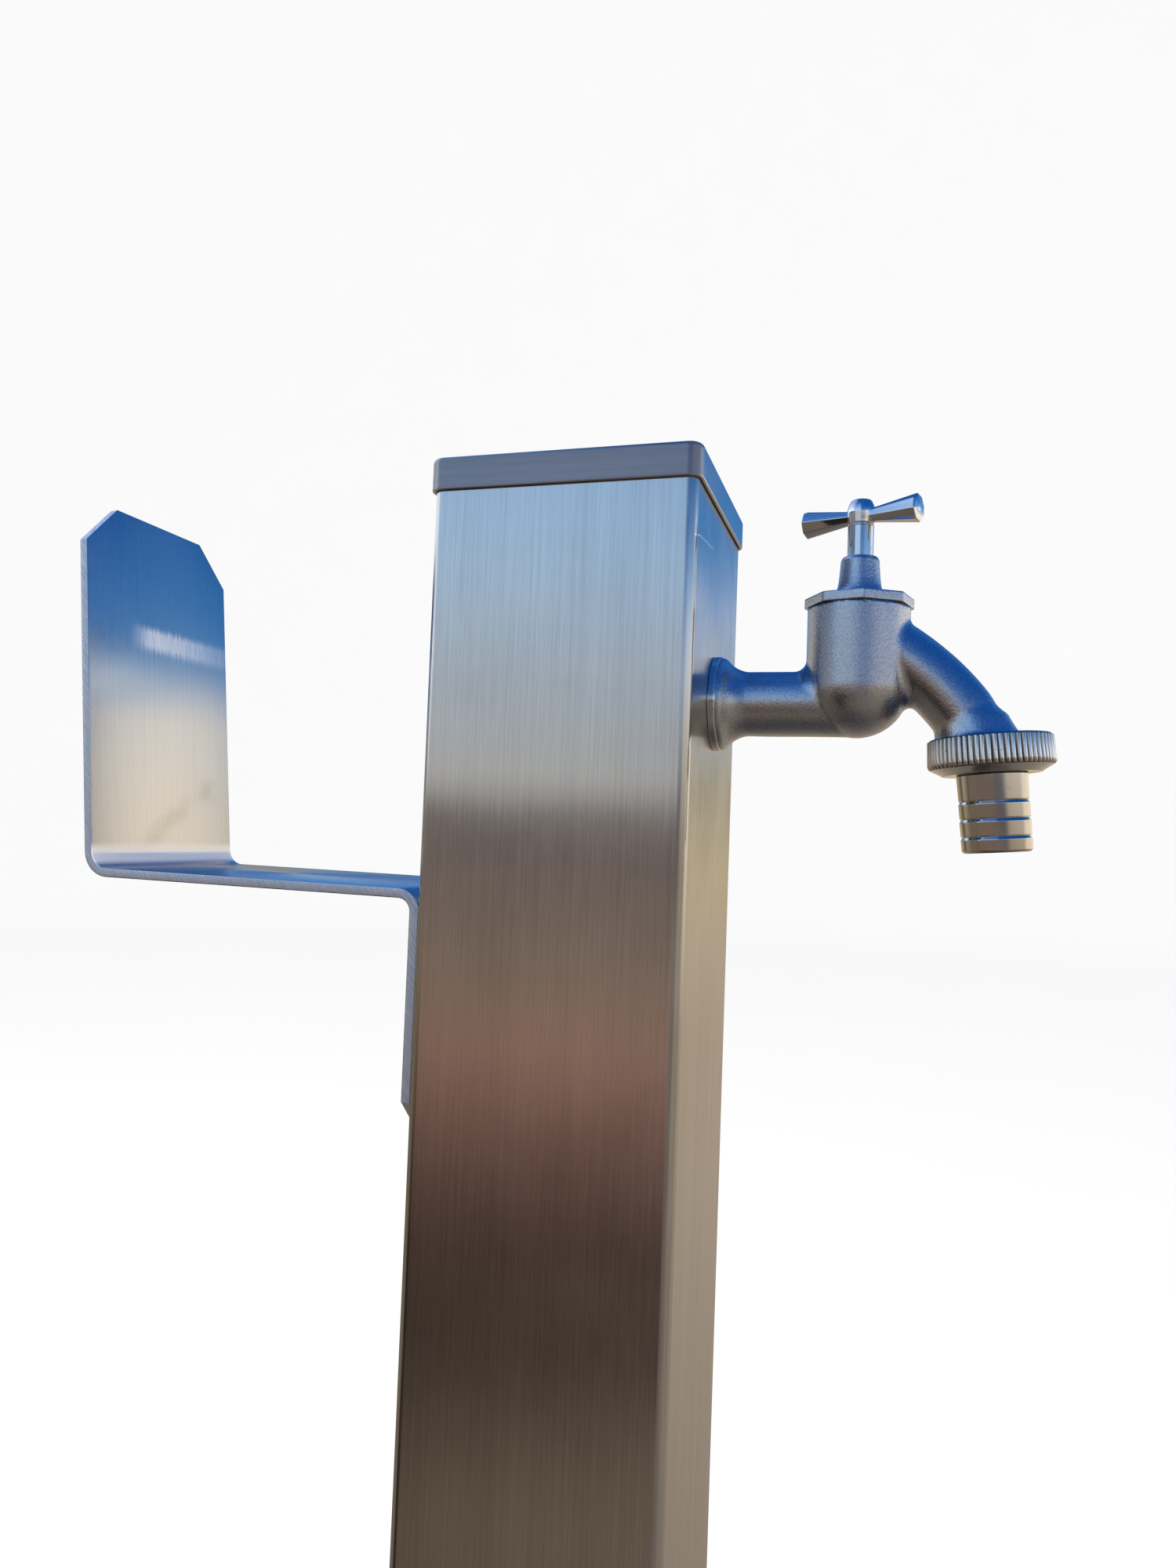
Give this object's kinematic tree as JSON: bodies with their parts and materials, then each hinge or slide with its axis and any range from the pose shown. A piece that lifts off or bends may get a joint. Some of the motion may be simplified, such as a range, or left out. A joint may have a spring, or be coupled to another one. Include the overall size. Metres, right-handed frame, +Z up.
{
  "type": "garden standpipe",
  "caption": "Square brushed steel garden standpipe on a base plate, with a bib tap, T-handle, knurled union nut and barbed hose nozzle, and a bent plate bracket for a coiled hose.",
  "frame": {"origin": "on the ground, at the centre of the base plate and of the post above it", "axes": "+Z up along the post, +X towards the tap, -X towards the hose bracket"},
  "size_m": [0.3098, 0.15, 1],
  "materials": {
    "post_steel": "fine vertical brushing",
    "cap_steel": "fine brushing across the cap",
    "bracket_steel": "fine brushing, sheared edges",
    "base_steel": "fine brushing",
    "weld": "satin weld bead",
    "fixing_steel": "plain bright stainless",
    "satin_casting": "sand-cast brass with a satin nickel plate",
    "polished_chrome": "polished chrome plate",
    "brass": "turned brass",
    "pipe_plastic": "plain plastic pipe",
    "rubber": "matte rubber",
    "fibre": "pressed fibre"
  },
  "bodies": {
    "stand": {"base_plate": "base_steel", "base_weld": "weld", "post_tube": "post_steel", "post_cap": "cap_steel", "cap_clips": "fixing_steel", "hose_bracket": "bracket_steel", "bracket_screws": "fixing_steel", "bracket_washers": "fixing_steel", "bracket_rivet_nuts": "fixing_steel", "supply_grommet": "rubber", "supply_coupling": "brass", "lower_pipe_nut": "brass", "pipe_olives": "brass", "riser_pipe": "pipe_plastic", "elbow_pipe_nut": "brass", "inlet_elbow": "brass", "backnut": "brass", "backnut_washer": "fibre", "rosette": "polished_chrome", "tap_body": "satin_casting", "bonnet_gasket": "rubber", "bonnet": "satin_casting"},
    "valve": {"valve_jumper": "brass", "valve_washer": "rubber", "washer_nut": "brass"},
    "handle": {"spindle": "polished_chrome", "spindle_o_rings": "rubber", "t_handle": "polished_chrome", "handle_screw": "polished_chrome"},
    "nozzle": {"outlet_gasket": "rubber", "hose_nozzle": "polished_chrome"},
    "nut": {"union_nut": "polished_chrome"}
  },
  "joints": [
    {"name": "valve_lift", "type": "slide", "parent": "stand", "child": "valve", "axis": [0, 0, 1], "range_m": [0, 0.006]},
    {"name": "handle_turn", "type": "hinge", "parent": "valve", "child": "handle", "pos_m": [0.0828, 0, 0.985], "axis": [0, 0, 1], "range_deg": [0, 1081]},
    {"name": "nozzle_drop", "type": "slide", "parent": "stand", "child": "nozzle", "axis": [0.0837, 0, -0.9965], "range_m": [0, 0.0054]},
    {"name": "union_nut_turn", "type": "hinge", "parent": "nozzle", "child": "nut", "pos_m": [0.1204, 0, 0.9215], "axis": [0.0837, 0, -0.9965], "range_deg": [0, 1081]}
  ],
  "couplings": [
    {"joint": "handle_turn", "follows": "valve_lift", "rad_per_m": 3141.6},
    {"joint": "union_nut_turn", "follows": "nozzle_drop", "rad_per_m": 3490.7}
  ]
}
